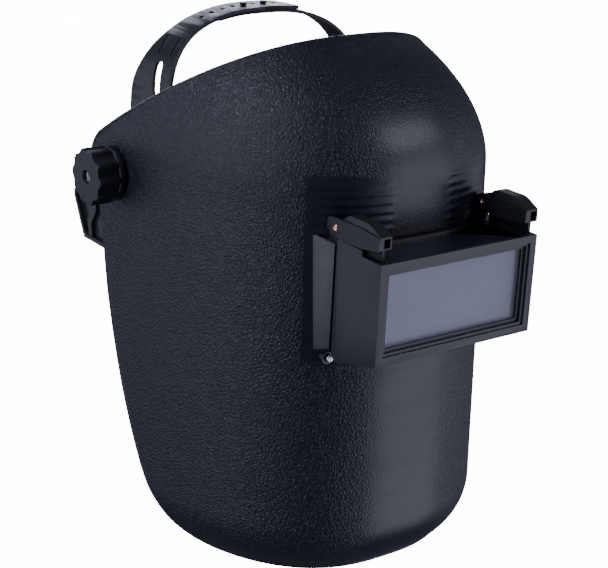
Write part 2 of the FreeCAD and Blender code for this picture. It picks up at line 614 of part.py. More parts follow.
def arch(half, rise, z_foot):
    """Solid arch, wide along Y: half a blunt oval on straight legs."""
    points = []
    for i in range(-10, 11):
        turn = math.radians(90 * i / 10)
        x = half * math.copysign(abs(math.sin(turn)) ** (2 / ARCH_BLUNTNESS), turn)
        points.append(V(x, -60, ARCH_Z + rise * abs(math.cos(turn)) ** (2 / ARCH_BLUNTNESS)))
    crown = Part.BSplineCurve()
    crown.interpolate(Points=points, Parameters=[float(i) for i in range(len(points))])
    corners = [points[-1], V(half, -60, z_foot), V(-half, -60, z_foot), points[0]]
    legs = [Part.LineSegment(a, b).toShape() for a, b in zip(corners, corners[1:])]
    return Part.Face(Part.Wire([crown.toShape()] + legs)).extrude(V(0, 120, 0))


def strap_shell(half, rise, foot):
    """Thin arch-shaped band, wide along Y."""
    return arch(half, rise, foot).cut(arch(half - STRAP_T, rise - STRAP_T, foot - 5))


def make_crown_strap_left():
    """Wide strap half: slot at the foot, adjustment holes, raised front edge, pointed end."""
    shell = strap_shell(ARCH_HALF_W, ARCH_RISE, STRAP_FOOT_Z)
    foot = plate_x([(4, STRAP_FOOT_Z, 4), (32, STRAP_FOOT_Z, 4), (36, 20, 20), (35, 50, 40), (26, 84, 30),
                    (25, 100, 0), (4, 100, 0), (2, 84, 30), (-13, 46, 60), (-8, 20, 10)], (-90, 0))
    tongue = plate_z([(-1, 4, 0), (22, 4, 3), (36, 14.5, 2), (22, 25, 3), (-1, 25, 0)], (60, 110))
    strap = shell.common(foot.fuse(tongue))
    rail_form = arch(ARCH_HALF_W, ARCH_RISE, 0).cut(arch(ARCH_HALF_W - 4.2, ARCH_RISE - 4.2, -5))
    rail_front = plate_x([(-6.6, 27, 0), (-11.6, 46, 60), (3.4, 84, 30), (3.4, 88, 0), (1.6, 88, 0),
                          (0.4, 84, 30), (-13.6, 46, 60), (-9.4, 27, 0)], (-90, -10))
    rail = rail_form.common(rail_front)
    slot = plate_x([(-2, 38, 3.4), (6.2, 38, 3.4), (15.6, 66, 3.4), (7.4, 66, 3.4)], (-90, -60))
    holes = [rod(1.5, (x, 14.5, 60), (x, 14.5, 110)) for x in (-42, -34, -26, -18, -10, -2, 6, 14)]
    strokes = [plate_x([(y, 70, 0), (y + 1.6, 70, 0), (y + 5.6, 80, 0), (y + 4, 80, 0)], (-90, -50))
               for y in (3, 17)]
    shallow = arch(ARCH_HALF_W - 0.8, ARCH_RISE - 0.8, -8)
    grooves = [stroke.cut(shallow) for stroke in strokes]
    rivets = [rod(1.6, (-90, y, z), (-70, y, z)) for y, z in STRAP_RIVETS]
    return fused([strap, rail]).cut([slot] + holes + grooves + rivets)


def make_crown_strap_right():
    """Narrow strap half that runs under the left one, with locking pegs."""
    shell = strap_shell(ARCH_HALF_W, ARCH_RISE - STRAP_UNDER, STRAP_FOOT_Z)
    side = plate_x([(4, STRAP_FOOT_Z, 4), (32, STRAP_FOOT_Z, 4), (31, 20, 20), (27, 60, 60), (26, 100, 0),
                    (5, 100, 0), (4.4, 60, 60), (2.5, 20, 10)], (-8, 90))
    reach = plate_z([(-34, 6, 3), (-34, 23, 3), (1, 24.5, 0), (1, 5.5, 0)], (60, 110))
    strap = shell.common(side.fuse(reach))
    rivets = [rod(1.6, (70, y, z), (90, y, z)) for y, z in STRAP_RIVETS]
    holes = [rod(1.4, (x, 14.5, 60), (x, 14.5, 110)) for x in (44, 36)]
    top = ARCH_Z + ARCH_RISE
    pegs = [rod(1.4, (x, 14.5, top - 4.4), (x, 14.5, top + 1.5)) for x in (-10, 6)]
    knobs = [rod(2.2, (x, 14.5, top + 0.1), (x, 14.5, top + 1.7)) for x in (-10, 6)]
    return fused([strap.cut(rivets + holes)] + pegs + knobs)


def make_strap_rivets():
    """Rivets at the crown strap's feet."""
    rivets = []
    for side in (-1, 1):
        for y, z in STRAP_RIVETS:
            shank = rod(1.6, (side * (BAND_HALF_W - BAND_T), y, z), (side * ARCH_HALF_W, y, z))
            head = rod(3.2, (side * ARCH_HALF_W, y, z), (side * (ARCH_HALF_W + 1.2), y, z))
            rivets.append(fused([shank, head]))
    return Part.makeCompound(rivets)


def build():
    """Every piece, by name."""
    outer = shell_form(0)
    parts = {
        "shell": make_shell(outer),
        "window_base": make_window_base(),
        "base_gasket": make_base_gasket(),
        "inner_cover_plate": make_inner_cover_plate(),
        "inner_plate_clip": make_inner_plate_clip(),
        "base_screws": make_base_screws(),
        "base_nuts": make_base_nuts(),
        "hinge_rivets": Part.makeCompound([hinge_rivet(ARM_X), hinge_rivet(ARM_X + ARM_STEP)]),
        "lift_frame": make_lift_frame(),
        "lift_arm_left": make_lift_arm_left(),
        "lift_arm_right": make_lift_arm_right(),
        "filter_plate": make_filter_plate(),
        "front_cover_plate": make_front_cover_plate(),
        "filter_gasket": make_filter_gasket(),
        "filter_clip": make_filter_clip(),
        "hinge_springs": make_hinge_springs(),
        "bracket_rivets": make_bracket_rivets(),
        "headband_front": make_headband_front(),
        "rear_band": make_rear_band(),
        "band_buttons": make_band_buttons(),
        "sweatband": make_sweatband(),
        "nape_pad": make_nape_pad(),
        "crown_strap_left": make_crown_strap_left(),
        "crown_strap_right": make_crown_strap_right(),
        "strap_rivets": make_strap_rivets(),
    }
    for name, side in (("left", -1), ("right", 1)):
        parts["pivot_stud_" + name] = pivot_stud(side)
        parts["stop_disc_" + name] = stop_disc(side)
        parts["outer_washer_" + name] = outer_washer(side)
        parts["tension_knob_" + name] = tension_knob(side)
        parts["knob_insert_" + name] = knob_insert(side)
        parts["side_bracket_" + name] = side_bracket(side)
    return parts


os.makedirs("parts", exist_ok=True)
for node, shape in build().items():
    print(node, len(shape.Solids), shape.isValid(), round(shape.Volume / 1000, 2), "cm3")
    shape.exportStep("parts/" + node + ".step")
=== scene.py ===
import json
import math

import bmesh
import bpy
import numpy as np
from mathutils import Matrix, Vector

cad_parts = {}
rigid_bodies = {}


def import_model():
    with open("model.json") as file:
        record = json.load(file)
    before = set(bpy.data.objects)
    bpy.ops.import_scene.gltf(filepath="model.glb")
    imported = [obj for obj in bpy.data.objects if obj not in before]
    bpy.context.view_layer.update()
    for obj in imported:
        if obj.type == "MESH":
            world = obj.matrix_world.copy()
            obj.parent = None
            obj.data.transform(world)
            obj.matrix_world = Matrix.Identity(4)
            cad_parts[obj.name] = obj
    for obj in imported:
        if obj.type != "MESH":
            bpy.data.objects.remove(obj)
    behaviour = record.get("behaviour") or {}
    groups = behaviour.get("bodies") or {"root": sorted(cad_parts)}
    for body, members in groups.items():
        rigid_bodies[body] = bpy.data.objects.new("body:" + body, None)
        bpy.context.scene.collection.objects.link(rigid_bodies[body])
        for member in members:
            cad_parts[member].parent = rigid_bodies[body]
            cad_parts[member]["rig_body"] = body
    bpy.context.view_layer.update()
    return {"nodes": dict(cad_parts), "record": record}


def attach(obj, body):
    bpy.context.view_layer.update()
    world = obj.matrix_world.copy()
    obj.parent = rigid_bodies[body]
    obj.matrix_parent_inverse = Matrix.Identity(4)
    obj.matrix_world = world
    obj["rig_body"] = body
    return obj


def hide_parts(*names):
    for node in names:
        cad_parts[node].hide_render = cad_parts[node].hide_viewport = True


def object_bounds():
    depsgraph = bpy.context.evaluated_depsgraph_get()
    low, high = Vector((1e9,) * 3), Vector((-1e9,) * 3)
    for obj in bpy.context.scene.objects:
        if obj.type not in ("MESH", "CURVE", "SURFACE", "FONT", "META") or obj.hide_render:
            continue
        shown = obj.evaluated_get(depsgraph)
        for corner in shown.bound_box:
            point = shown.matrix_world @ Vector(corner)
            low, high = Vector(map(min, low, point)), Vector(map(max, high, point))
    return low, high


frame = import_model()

MM = 0.001
nodes = frame["nodes"]
scene = bpy.context.scene
slot_of = {s["node"]: s["material_slot"] for s in frame["record"]["subparts"]}

# ---- shell shape, in millimetres, following the CAD shell ----
WALL = 2.5
FRONT_Y = -166.3
LEAN = 0.028
SIDE_Y = 23.5
HALF_WIDTH = 114.5
NARROWING = 0.023
BLUNTNESS = 2.61
DOME_Z = 18.7
DOME_RISE = 99.3
DOME_POWER = 1.966
CHIN_Z = -196.2
CHIN_DROP = 47.5
CHIN_INSET = 53.1
BOTTOM_Z = -231.9
TOP_Z = 99.5
CROWN_EDGE = ((9.0, 30.2), (-112.0, 111.2))      # (y, z) ends of the straight crown edge
CHEEK = [(9, 30.2), (24, 19), (30.5, 4), (27, -12), (15.5, -28), (2.5, -83.5), (-17.5, -139.5),
         (-40.5, -185.5), (-58, -208), (-72, -221.5), (-88, -229.5), (-106, -231.9)]
BEAD_R = 1.75
BEAD_INSET = 1.2       # from the cut edge to the middle of the rolled edge
RIB_PITCH = 5.4
RIB_COUNT = 6
RIB_LOW = -5.2         # foot of the lowest rib; the CAD rib is a flat band a little higher up
RIB_EDGE = 64.5
RIB_INNER = 20.5
RIB_HEIGHT = 0.3
WINDOW_Z = -38.5
OPENING = (110.0, 53.0)
HUB_R = 7.05
SCREW_X = 57.5
SCREW_Z = -80.8
BOSS_R = 4.2
BOSS_Y = (-157.6, -151.15)


# ---- small building blocks ----
def new_object(name, verts, faces):
    """Smooth-shaded mesh object from points in millimetres."""
    mesh = bpy.data.meshes.new(name)
    mesh.from_pydata([[c * MM for c in v] for v in verts], [], faces)
    mesh.validate()
    mesh.shade_smooth()
    obj = bpy.data.objects.new(name, mesh)
    scene.collection.objects.link(obj)
    return obj


def applied(obj):
    """The object with its modifiers worked into its mesh."""
    bpy.context.view_layer.update()
    graph = bpy.context.evaluated_depsgraph_get()
    mesh = bpy.data.meshes.new_from_object(obj.evaluated_get(graph))
    obj.modifiers.clear()
    obj.data = mesh
    return obj


def boolean(obj, tool, operation):
    """Cuts or joins a tool object, which is used up."""
    modifier = obj.modifiers.new("boolean", "BOOLEAN")
    modifier.operation = operation
    modifier.object = tool
    modifier.solver = "EXACT"
    applied(obj)
    bpy.data.objects.remove(tool)


def smooth_by_angle(obj, degrees):
    """Smooth shading that stays sharp at real edges."""
    obj.data.shade_smooth()
    obj.data.set_sharp_from_angle(angle=math.radians(degrees))


def finished(obj, body, slot, *replaced):
    """Ties a piece to its body, its material slot and the CAD nodes it stands for."""
    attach(obj, body)
    if replaced:
        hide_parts(*replaced)
    obj.data.materials.clear()
    obj.data.materials.append(materials[slot])
    return obj


def refined(node, width, segments=2, angle=32):
    """A copy of a CAD node's mesh with its sharp edges rounded, which stands for the node."""
    source = nodes[node]
    obj = bpy.data.objects.new(node + "_fine", source.data.copy())
    scene.collection.objects.link(obj)
    work = bmesh.new()
    work.from_mesh(obj.data)
    bmesh.ops.remove_doubles(work, verts=work.verts, dist=2e-6)
    bmesh.ops.dissolve_limit(work, angle_limit=math.radians(0.6), verts=work.verts, edges=work.edges)
    work.to_mesh(obj.data)
    work.free()
    bevel = obj.modifiers.new("edges", "BEVEL")
    bevel.width = width * MM
    bevel.segments = segments
    bevel.limit_method = "ANGLE"
    bevel.angle_limit = math.radians(angle)
    applied(obj)
    smooth_by_angle(obj, 25)
    return finished(obj, source["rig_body"], slot_of[node], node)


def smooth_curve(points, steps):
    """Points along a smooth curve through the given ones."""
    pts = np.array(points, float)
    pts = np.vstack([2 * pts[0] - pts[1], pts, 2 * pts[-1] - pts[-2]])
    out = []
    for a, b, c, d in zip(pts, pts[1:], pts[2:], pts[3:]):
        for k in range(steps):
            s = k / steps
            out.append(0.5 * (2 * b + (c - a) * s + (2 * a - 5 * b + 4 * c - d) * s * s
                              + (3 * b - a - 3 * c + d) * s ** 3))
    out.append(pts[-2])
    return np.array(out)


# ---- materials ----
class Graph:
    """Short names for the nodes of one material."""

    def __init__(self, name):
        self.material = bpy.data.materials.new(name)
        self.material.use_nodes = True
        self.tree = self.material.node_tree
        self.shader = self.tree.nodes["Principled BSDF"]
        self.place = self.node("ShaderNodeTexCoord").outputs["Object"]

    def node(self, kind, **settings):
        made = self.tree.nodes.new(kind)
        for key, value in settings.items():
            setattr(made, key, value)
        return made

    def link(self, source, target):
        self.tree.links.new(source, target)

    def feed(self, made, inputs):
        for key, value in inputs.items():
            if isinstance(value, bpy.types.NodeSocket):
                self.link(value, made.inputs[key])
            else:
                made.inputs[key].default_value = value
        return made

    def noise(self, scale, detail=3.0, rough=0.5, place=None):
        made = self.node("ShaderNodeTexNoise")
        self.feed(made, {"Vector": place or self.place, "Scale": scale, "Detail": detail, "Roughness": rough})
        return made.outputs["Fac"]

    def cells(self, scale, feature="F1", place=None, output="Distance"):
        made = self.node("ShaderNodeTexVoronoi", feature=feature)
        self.feed(made, {"Vector": place or self.place, "Scale": scale})
        return made.outputs[output]

    def math(self, operation, a, b=0.0, c=0.0, clamp=False):
        made = self.node("ShaderNodeMath", operation=operation, use_clamp=clamp)
        self.feed(made, {0: a, 1: b, 2: c})
        return made.outputs[0]

    def fit(self, value, low, high, to_low=0.0, to_high=1.0, smooth=False):
        made = self.node("ShaderNodeMapRange")
        if smooth:
            made.interpolation_type = "SMOOTHSTEP"
        self.feed(made, {"Value": value, "From Min": low, "From Max": high,
                         "To Min": to_low, "To Max": to_high})
        return made.outputs["Result"]

    def blend(self, factor, a, b):
        made = self.node("ShaderNodeMix", data_type="RGBA")
        self.link(factor, made.inputs["Factor"])
        for socket, value in ((made.inputs[6], a), (made.inputs[7], b)):
            if isinstance(value, bpy.types.NodeSocket):
                self.link(value, socket)
            else:
                socket.default_value = (*value, 1)
        return made.outputs[2]

    def stretched(self, scale):
        made = self.node("ShaderNodeMapping")
        self.feed(made, {"Vector": self.place, "Scale": scale})
        return made.outputs[0]

    def axes(self):
        made = self.node("ShaderNodeSeparateXYZ")
        self.link(self.place, made.inputs[0])
        return made.outputs

    def bump(self, height, distance, strength=1.0, under=None):
        made = self.node("ShaderNodeBump")
        self.feed(made, {"Height": height, "Distance": distance, "Strength": strength})
        if under is not None:
            self.link(under, made.inputs["Normal"])
        self.link(made.outputs[0], self.shader.inputs["Normal"])
        return made.outputs[0]

    def set(self, **values):
        for key, value in values.items():
            name = key.replace("_", " ")
            socket = self.shader.inputs[name]
            if isinstance(value, bpy.types.NodeSocket):
                self.link(value, socket)
            else:
                socket.default_value = value


def leather_grain_plastic():
    """Moulded thermoplastic: pebbled leather grain, smooth near the window, faint scuffs."""
    g = Graph("shell_plastic")
    warp = g.node("ShaderNodeVectorMath", operation="MULTIPLY_ADD")
    swirl = g.node("ShaderNodeTexNoise")
    g.feed(swirl, {"Vector": g.place, "Scale": 260.0, "Detail": 1.0})
    g.feed(warp, {0: swirl.outputs["Color"], 1: (0.0016, 0.0016, 0.0016), 2: g.place})
    coarse = g.cells(430.0, "DISTANCE_TO_EDGE", warp.outputs[0])
    fine = g.cells(900.0, "DISTANCE_TO_EDGE", warp.outputs[0])
    small_pebble = g.math("MULTIPLY", g.fit(fine, 0, 0.3), 0.35)
    pebble = g.math("ADD", g.fit(coarse, 0.0, 0.30, smooth=True), small_pebble)
    x, y, z = g.axes()
    side = g.math("ABSOLUTE", x)
    # the mould is polished on the centre strip and around the window
    strip = g.fit(side, 0.018, 0.050, 1.0, 0.0, smooth=True)
    front = g.fit(y, -0.128, -0.150, smooth=True)
    window = g.fit(side, 0.069, 0.0705, 1.0, 0.0)
    above = g.fit(z, 0.031, 0.0285)
    below = g.fit(z, -0.088, -0.082)
    panel = g.math("MULTIPLY", g.math("MULTIPLY", window, above), g.math("MULTIPLY", below, front))
    polished = g.math("MAXIMUM", g.math("MULTIPLY", strip, front), panel)
    grain = g.math("SUBTRACT", 1.0, g.math("MULTIPLY", polished, 0.86))
    cloud = g.noise(9.0, 3.0)
    speck = g.noise(1500.0, 2.0)
    tone = g.math("MULTIPLY_ADD", cloud, 0.5, g.math("MULTIPLY", pebble, 0.35))
    g.set(Base_Color=g.blend(tone, (0.006, 0.0063, 0.0150), (0.0125, 0.0132, 0.0245)))
    scuff = g.noise(1.0, 4.0, 0.6, g.stretched((16.0, 16.0, 70.0)))
    base_rough = g.math("MULTIPLY_ADD", g.fit(scuff, 0.35, 0.7), 0.07, g.math("MULTIPLY", speck, 0.05))
    g.set(Roughness=g.math("ADD", base_rough, g.fit(polished, 0.0, 1.0, 0.32, 0.28)))
    first = g.bump(g.noise(55.0, 2.0), 0.0005, 0.25)
    height = g.math("MULTIPLY", pebble, grain)
    g.bump(height, 0.00030, 0.8, under=first)
    g.set(Specular_IOR_Level=0.5)
    return g.material


def moulded_plastic(name, dark, light, rough, texture=900.0, depth=0.00004, gloss_marks=0.06, level=0.5):
    """Injection moulding: faint tone clouds, flow marks in the gloss, fine spark-eroded texture."""
    g = Graph(name)
    cloud = g.noise(28.0, 3.0)
    g.set(Base_Color=g.blend(cloud, dark, light))
    flow = g.noise(1.0, 3.0, 0.6, g.stretched((40.0, 60.0, 160.0)))
    g.set(Roughness=g.math("MULTIPLY_ADD", flow, gloss_marks, rough))
    first = g.bump(g.noise(70.0, 2.0), 0.00025, 0.18)
    g.bump(g.noise(texture, 3.0, 0.6), depth, 0.5, under=first)
    g.set(Specular_IOR_Level=level)
    return g.material


def metal(name, dark, light, rough, grain=(900.0, 60.0, 900.0)):
    """Bare or plated metal with fine drawn lines and dull patches."""
    g = Graph(name)
    lines = g.noise(1.0, 3.0, 0.6, g.stretched(grain))
    patch = g.noise(180.0, 3.0)
    g.set(Base_Color=g.blend(patch, dark, light), Metallic=1.0)
    g.set(Roughness=g.math("MULTIPLY_ADD", lines, 0.16, rough))
    g.bump(lines, 0.00002, 0.5)
    return g.material


def filter_glass():
    """Near-opaque welding filter with a smooth face; its lavender-grey is partly the glass tint and partly a
    painted reflection, painted lighter towards -x and darker towards +x.
    """
    g = Graph("filter_glass")
    cloud = g.noise(14.0, 1.0)
    x = g.axes()[0]
    # painted reflection: the face colour runs from lighter at -x to darker at +x, with some random clouding
    # mixed in
    painted_reflection_ramp = g.math("MULTIPLY_ADD", g.fit(x, -0.05, 0.05), 0.75, g.math("MULTIPLY", cloud, 0.25))
    g.set(Base_Color=g.blend(painted_reflection_ramp, (0.35, 0.365, 0.55), (0.215, 0.23, 0.37)))
    g.set(Roughness=g.fit(g.noise(400.0, 2.0), 0.3, 0.7, 0.10, 0.14))
    g.set(Specular_IOR_Level=0.5, Coat_Weight=0.4, Coat_Roughness=0.03)
    g.bump(cloud, 0.0002, 0.1)
    return g.material


def clear_plate():
    """Clear polycarbonate with faint wipe marks: mostly see-through, with a bright gloss."""
    g = Graph("clear_plate")
    marks = g.noise(1.0, 4.0, 0.6, g.stretched((30.0, 30.0, 220.0)))
    g.set(Base_Color=g.blend(marks, (0.55, 0.57, 0.62), (0.62, 0.64, 0.68)))
    g.set(Roughness=g.fit(marks, 0.3, 0.8, 0.06, 0.12))
    g.set(Alpha=0.12, IOR=1.45)
    g.bump(marks, 0.00002, 0.2)
    return g.material


def cloth(name, dark, light, pitch, nap):
    """Towelling or felt: looped weave over a soft nap."""
    g = Graph(name)
    loops = g.cells(pitch, "F1")
    fuzz = g.noise(pitch * 2.2, 4.0, 0.7)
    tone = g.math("MULTIPLY_ADD", fuzz, 0.6, g.math("MULTIPLY", loops, 0.5))
    g.set(Base_Color=g.blend(tone, dark, light))
    g.set(Roughness=g.fit(fuzz, 0.2, 0.8, 0.85, 1.0))
    g.set(Sheen_Weight=0.35, Sheen_Roughness=0.5)
    g.bump(g.math("SUBTRACT", fuzz, loops), nap, 0.9)
    return g.material


def floor_paint():
    """Pale matt studio floor, lit evenly by itself."""
    g = Graph("studio_floor")
    g.set(Base_Color=g.blend(g.noise(3.0, 2.0), (0.86, 0.86, 0.86), (0.90, 0.90, 0.90)))
    g.set(Roughness=0.9, Specular_IOR_Level=0.1)
    g.set(Emission_Color=(1.0, 1.0, 1.0, 1.0), Emission_Strength=14.0)
    return g.material


materials = {
    "shell_plastic": leather_grain_plastic(),
    "window_plastic": moulded_plastic("window_plastic", (0.006, 0.0062, 0.014), (0.010, 0.0105, 0.020), 0.27,
                                      700.0, 0.00002, 0.08, 0.42),
    "arm_plastic": moulded_plastic("arm_plastic", (0.009, 0.0093, 0.013), (0.015, 0.0155, 0.020), 0.42),
    "knob_plastic": moulded_plastic("knob_plastic", (0.010, 0.0105, 0.017), (0.016, 0.017, 0.025), 0.5,
                                    1400.0, 0.00006),
    "strap_plastic": moulded_plastic("strap_plastic", (0.006, 0.0063, 0.010), (0.011, 0.0115, 0.017), 0.34,
                                     1100.0, 0.00003, 0.1),
    "bracket_plastic": moulded_plastic("bracket_plastic", (0.008, 0.0083, 0.012), (0.013, 0.0135, 0.018),
                                       0.38),
    "filter_glass": filter_glass(),
    "clear_plate": clear_plate(),
    "felt": cloth("felt", (0.006, 0.006, 0.007), (0.02, 0.02, 0.022), 1400.0, 0.0002),
    "sweat_foam": cloth("sweat_foam", (0.012, 0.012, 0.014), (0.045, 0.045, 0.05), 750.0, 0.0004),
    "spring_steel": metal("spring_steel", (0.33, 0.34, 0.36), (0.5, 0.51, 0.53), 0.26),
    "zinc_steel": metal("zinc_steel", (0.45, 0.46, 0.49), (0.66, 0.67, 0.7), 0.2),
    "copper_rivet": metal("copper_rivet", (0.50, 0.27, 0.19), (0.72, 0.43, 0.32), 0.16),
    "brass": metal("brass", (0.46, 0.33, 0.13), (0.66, 0.5, 0.22), 0.22),
}


# ---- face shell ----
def section_size(z, out):
    """Half width and depth of the shell's section at height z, moved outwards."""
    rise = np.maximum(0.0, z - DOME_Z) / (DOME_RISE + out)
    scale = np.maximum(1 - rise ** DOME_POWER, 1e-9) ** (1 / DOME_POWER)
    drop = np.maximum(0.0, CHIN_Z - z) / CHIN_DROP
    inset = CHIN_INSET * (1 - np.sqrt(np.maximum(0, 1 - drop * drop)))
    depth = (SIDE_Y - FRONT_Y - LEAN * z - inset + out) * scale
    half = (HALF_WIDTH - NARROWING * z - inset + out) * scale
    return half, depth


def shell_point(turn, z, out):
    """Point of the shell: turn 0 is the front, -1 and 1 the widest sides, and it is straight beyond."""
    half, depth = section_size(z, out)
    angle = np.clip(turn, -1, 1) * math.pi / 2
    x = half * np.sign(angle) * np.abs(np.sin(angle)) ** (2 / BLUNTNESS)
    y = SIDE_Y - depth * np.abs(np.cos(angle)) ** (2 / BLUNTNESS)
    return x, y + np.maximum(0, np.abs(turn) - 1) * 100, z


def turn_at(y, z, out):
    """Turn at which the shell's section reaches depth y."""
    _, depth = section_size(z, out)
    reach = np.clip((SIDE_Y - y) / depth, 0, 1)
    return np.arccos(reach ** (BLUNTNESS / 2)) * 2 / math.pi + np.maximum(0, y - SIDE_Y) / 100


def side_x(y, z, out):
    """Half width of the shell's surface at a depth and height."""
    half, depth = section_size(z, out)
    reach = np.clip((SIDE_Y - y) / depth, 0, 1)
    return half * (1 - reach ** BLUNTNESS) ** (1 / BLUNTNESS)


cheek = smooth_curve(CHEEK, 24)


def rib_height(x, z):
    """Shallow ribs above the window: crisp at both ends, with a smooth centre strip between them."""
    step = (z - RIB_LOW) / RIB_PITCH
    wave = 0.5 - 0.5 * np.cos(2 * math.pi * step)
    inside = (step > 0) & (step < RIB_COUNT)
    ends = np.clip((np.abs(x) - RIB_INNER) / 1.5, 0, 1) * np.clip((RIB_EDGE - np.abs(x)) / 1.5, 0, 1)
    return np.where(inside, RIB_HEIGHT * np.clip(wave * 1.6 - 0.3, 0, 1) * ends, 0)


def shell_grid(out, rows, columns, ribbed):
    """Sheet of points; each row below the crown ends exactly on the cheek edge."""
    points = []
    for z in rows:
        edge_z = min(z, CROWN_EDGE[0][1])
        edge_y = np.interp(-edge_z, -cheek[:, 1], cheek[:, 0])
        limit = turn_at(edge_y, z, out)
        turns = np.linspace(-1, 1, columns)
        turns = limit * (turns * 0.72 + 0.28 * turns ** 3)
        x, y, _ = shell_point(turns, z, out)
        lift = rib_height(x, z) if ribbed else np.zeros_like(x)
        x, y, _ = shell_point(turns, z, out + lift)
        points.append(np.stack([x, y, np.full_like(x, z)], 1))
    return np.array(points)


def make_shell():
    """Double-walled sheet between the bottom and the crown edge, with its rolled edge and cut-outs."""
    rib_top = RIB_LOW + RIB_PITCH * RIB_COUNT
    rows = np.concatenate([np.linspace(BOTTOM_Z, CHIN_Z, 16)[:-1], np.linspace(CHIN_Z, RIB_LOW, 46)[:-1],
                           np.linspace(RIB_LOW, rib_top, RIB_COUNT * 8 + 1)[:-1],
                           np.linspace(rib_top, 88, 34)[:-1], np.linspace(88, TOP_Z, 10)])
    columns = 181
    outer = shell_grid(0.0, rows, columns, True)
    inner = shell_grid(-WALL, rows, columns, False)
    count = len(rows) * columns
    verts = np.concatenate([outer.reshape(-1, 3), inner.reshape(-1, 3)])
    faces = []
    for r in range(len(rows) - 1):
        for c in range(columns - 1):
            a = r * columns + c
            b = a + columns
            faces.append((a, a + 1, b + 1, b))
            faces.append((count + a, count + b, count + b + 1, count + a + 1))
        for c in (0, columns - 1):
            a = r * columns + c
            wall = (a, a + columns, count + a + columns, count + a)
            faces.append(wall if c == 0 else wall[::-1])
    top = (len(rows) - 1) * columns
    for c in range(columns - 1):
        faces.append((c, count + c, count + c + 1, c + 1))
        faces.append((top + c, top + c + 1, count + top + c + 1, count + top + c))
    shell = new_object("shell_moulding", verts.tolist(), faces)
    trim_crown(shell)
    x, z = OPENING[0] / 2, OPENING[1] / 2
    boolean(shell, box_tool((-x, x), (-190, -130), (WINDOW_Z - z, WINDOW_Z + z)), "DIFFERENCE")
    boolean(shell, round_tool(HUB_R, 260, 96), "DIFFERENCE")
    boolean(shell, rim_bead(), "UNION")
    for side in (-1, 1):
        boolean(shell, screw_boss(side * SCREW_X), "UNION")
    smooth_by_angle(shell, 40)
    return finished(shell, "face_shell", "shell_plastic", "shell")


def trim_crown(shell):
    """Cuts the sheet along the straight crown edge and closes the cut."""
    (y0, z0), (y1, z1) = CROWN_EDGE
    normal = Vector((0, z0 - z1, y1 - y0)).normalized()
    if normal.z < 0:
        normal.negate()
    work = bmesh.new()
    work.from_mesh(shell.data)
    everything = work.verts[:] + work.edges[:] + work.faces[:]
    cut = bmesh.ops.bisect_plane(work, geom=everything, plane_co=(0, y0 * MM, z0 * MM), plane_no=normal,
                                 clear_outer=True)
    rim = [e for e in cut["geom_cut"] if isinstance(e, bmesh.types.BMEdge)]
    bmesh.ops.triangle_fill(work, use_beauty=True, edges=rim)
    bmesh.ops.recalc_face_normals(work, faces=work.faces)
    work.to_mesh(shell.data)
    work.free()
    shell.data.shade_smooth()


def box_tool(x, y, z):
    corners = [(a, b, c) for a in x for b in y for c in z]
    faces = [(0, 1, 3, 2), (4, 6, 7, 5), (0, 4, 5, 1), (2, 3, 7, 6), (0, 2, 6, 4), (1, 5, 7, 3)]
    return new_object("box_tool", corners, faces)


def round_tool(radius, length, sides):
    """Bar along X through the origin."""
    verts, faces = [], []
    for x in (-length / 2, length / 2):
        for k in range(sides):
            turn = 2 * math.pi * k / sides
            verts.append((x, radius * math.cos(turn), radius * math.sin(turn)))
    for k in range(sides):
        n = (k + 1) % sides
        faces.append((k, n, sides + n, sides + k))
    faces += [tuple(range(sides))[::-1], tuple(range(sides, 2 * sides))]
    return new_object("round_tool", verts, faces)


def screw_boss(x):
    """Short post behind a window screw, running from inside the wall to the back of its nut seat."""
    sides = 40
    verts = []
    for y in BOSS_Y:
        for k in range(sides):
            turn = 2 * math.pi * k / sides
            verts.append((x + BOSS_R * math.cos(turn), y, SCREW_Z + BOSS_R * math.sin(turn)))
    faces = [tuple(range(sides)), tuple(range(2 * sides - 1, sides - 1, -1))]
    for k in range(sides):
        n = (k + 1) % sides
        faces.append((k, sides + k, sides + n, n))
    return new_object("screw_boss", verts, faces)


def inwards(points, distance):
    """Side-view points moved into the shell, square to the line through them."""
    along = np.gradient(points, axis=0)
    along /= np.linalg.norm(along, axis=1)[:, None]
    return points + np.stack([along[:, 1], -along[:, 0]], 1) * distance


def rim_path():
    """Middle line of the rolled edge, once round the open side of the shell."""
    depth = -WALL / 2
    crown = []
    (y1, z1), (y0, z0) = inwards(np.array(CROWN_EDGE[::-1]), BEAD_INSET)
    edge = inwards(cheek, BEAD_INSET)
    for s in np.linspace(0, 1, 400):
        y, z = y0 + (y1 - y0) * s, z0 + (z1 - z0) * s
        _, reach = section_size(z, depth)
        if SIDE_Y - y < reach:
            crown.append((float(side_x(y, z, depth)), y, z))
    crown.append((0.0, *crown[-1][1:]))
    right = [(float(side_x(y, z, depth)), y, z) for y, z in edge[::-1]] + crown
    low = edge[-1][1]
    turns = np.linspace(0, float(turn_at(edge[-1][0], low, depth)), 60)
    x, y, _ = shell_point(turns, low, depth)
    bottom = [(float(a), float(b), low) for a, b in zip(x, y)]
    half_loop = bottom[:-1] + right
    whole = half_loop + [(-a, b, c) for a, b, c in half_loop[-2:0:-1]]
    return even_loop(np.array(whole), 720)


def even_loop(points, count):
    """Closed loop of evenly spaced points."""
    closed = np.vstack([points, points[:1]])
    lengths = np.concatenate([[0], np.cumsum(np.linalg.norm(np.diff(closed, axis=0), axis=1))])
    places = np.linspace(0, lengths[-1], count, endpoint=False)
    return np.stack([np.interp(places, lengths, closed[:, k]) for k in range(3)], 1)


